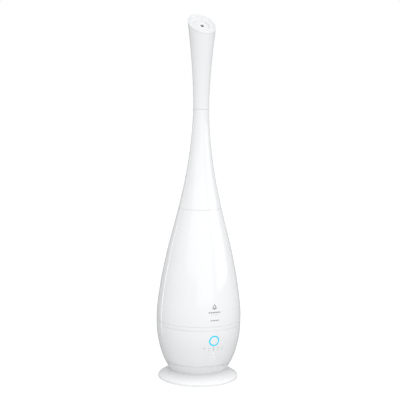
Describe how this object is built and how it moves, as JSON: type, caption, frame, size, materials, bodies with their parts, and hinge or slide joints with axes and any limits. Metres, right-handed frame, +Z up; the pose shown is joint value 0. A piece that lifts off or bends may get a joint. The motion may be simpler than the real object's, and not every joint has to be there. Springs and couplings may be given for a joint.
{
  "type": "cool mist humidifier",
  "caption": "Slender vase-shaped ultrasonic floor humidifier on a round foot, with a lift-off tank and neck and a swivelling trumpet mouth cut at a slant.",
  "frame": {"origin": "centre of the foot on the floor", "axes": "+Z up along the vase's axis, -Y towards the control panel and the low side of the mouth"},
  "size_m": [0.212, 0.212, 0.9128],
  "materials": {
    "white_shell": "high-gloss injection-moulded plastic",
    "white_inner": "satin moulded plastic",
    "valve_plastic": "natural acetal",
    "pale_rubber": "soft silicone rubber, natural white",
    "soft_rubber": "soft silicone rubber",
    "filter_foam": "open-cell foam",
    "black_plastic": "glass-filled plastic, fine grain",
    "circuit_board": "solder mask",
    "component_black": "component bodies",
    "heatsink_alloy": "extruded alloy",
    "screw_steel": "zinc-plated steel",
    "pin_chrome": "plated contact pin",
    "motor_copper": "copper winding and spring contacts",
    "magnet_black": "coated ferrite",
    "ring_cyan": "translucent light guide, lit",
    "window_clear": "frosted white window",
    "lamp_white": "clear light pipe, lit",
    "wire_red": "PVC sleeve",
    "wire_blue": "PVC sleeve",
    "wire_grey": "PVC sleeve",
    "wire_brown": "PVC sleeve"
  },
  "bodies": {
    "base": {"foot_plate": "white_shell", "foot_pads": "pale_rubber", "intake_cover": "white_inner", "intake_filter": "filter_foam", "base_pan": "white_shell", "base_housing": "white_shell", "basin_tray": "white_inner", "tank_gasket": "soft_rubber", "splash_guard": "white_inner", "transducer_disc": "screw_steel", "transducer_seal": "soft_rubber", "transducer_holder": "heatsink_alloy", "float_retainer": "white_inner", "reed_sensor": "black_plastic", "fan_frame": "black_plastic", "fan_motor": "motor_copper", "air_duct": "white_inner", "power_board": "circuit_board", "power_components": "component_black", "heatsink": "heatsink_alloy", "control_board": "circuit_board", "touch_electrodes": "motor_copper", "light_ring": "ring_cyan", "display_module": "black_plastic", "display_window": "window_clear", "status_lens": "lamp_white", "mains_inlet": "black_plastic", "inlet_pins": "pin_chrome", "base_screws": "screw_steel", "board_screws": "screw_steel", "fan_screws": "screw_steel", "fan_lead": "wire_red", "transducer_lead": "wire_blue", "control_lead": "wire_grey", "mains_leads": "wire_brown"},
    "fan": {"fan_impeller": "black_plastic"},
    "float": {"level_float": "valve_plastic", "float_magnet": "magnet_black"},
    "tank": {"tank_base": "white_shell", "tank_shell": "white_shell", "mist_chimney": "white_inner", "chimney_seal": "soft_rubber", "chimney_nut": "white_inner", "valve_cap": "white_inner", "cap_gasket": "soft_rubber", "valve_cage": "valve_plastic", "valve_spring": "screw_steel"},
    "valve": {"valve_plunger": "valve_plastic", "valve_seal": "soft_rubber"},
    "neck": {"neck_shell": "white_shell", "neck_tube": "white_inner", "neck_seal": "soft_rubber"},
    "swivel": {"swivel_collar": "white_inner"},
    "mouth": {"trumpet": "white_shell", "mist_nozzle": "white_shell"}
  },
  "joints": [
    {"name": "fan_spin", "type": "hinge", "parent": "base", "child": "fan", "pos_m": [-0.034, 0, 0.035], "axis": [0, 0, 1], "continuous": true},
    {"name": "float_rise", "type": "slide", "parent": "base", "child": "float", "axis": [0, 0, 1], "range_m": [0, 0.014]},
    {"name": "tank_lift", "type": "slide", "parent": "base", "child": "tank", "axis": [0, 0, 1], "range_m": [0, 0.16]},
    {"name": "valve_drop", "type": "slide", "parent": "tank", "child": "valve", "axis": [0, 0, 1], "range_m": [-0.0038, 0], "deforming": ["valve_spring"]},
    {"name": "neck_lift", "type": "slide", "parent": "tank", "child": "neck", "axis": [0, 0, 1], "range_m": [0, 0.06]},
    {"name": "swivel_lift", "type": "slide", "parent": "neck", "child": "swivel", "axis": [0, 0, 1], "range_m": [0, 0.04]},
    {"name": "mouth_turn", "type": "hinge", "parent": "swivel", "child": "mouth", "pos_m": [0, 0, 0.69], "axis": [0, 0, 1], "continuous": true}
  ],
  "couplings": [
    {"joint": "valve_drop", "follows": "tank_lift", "ratio": -0.02375}
  ]
}
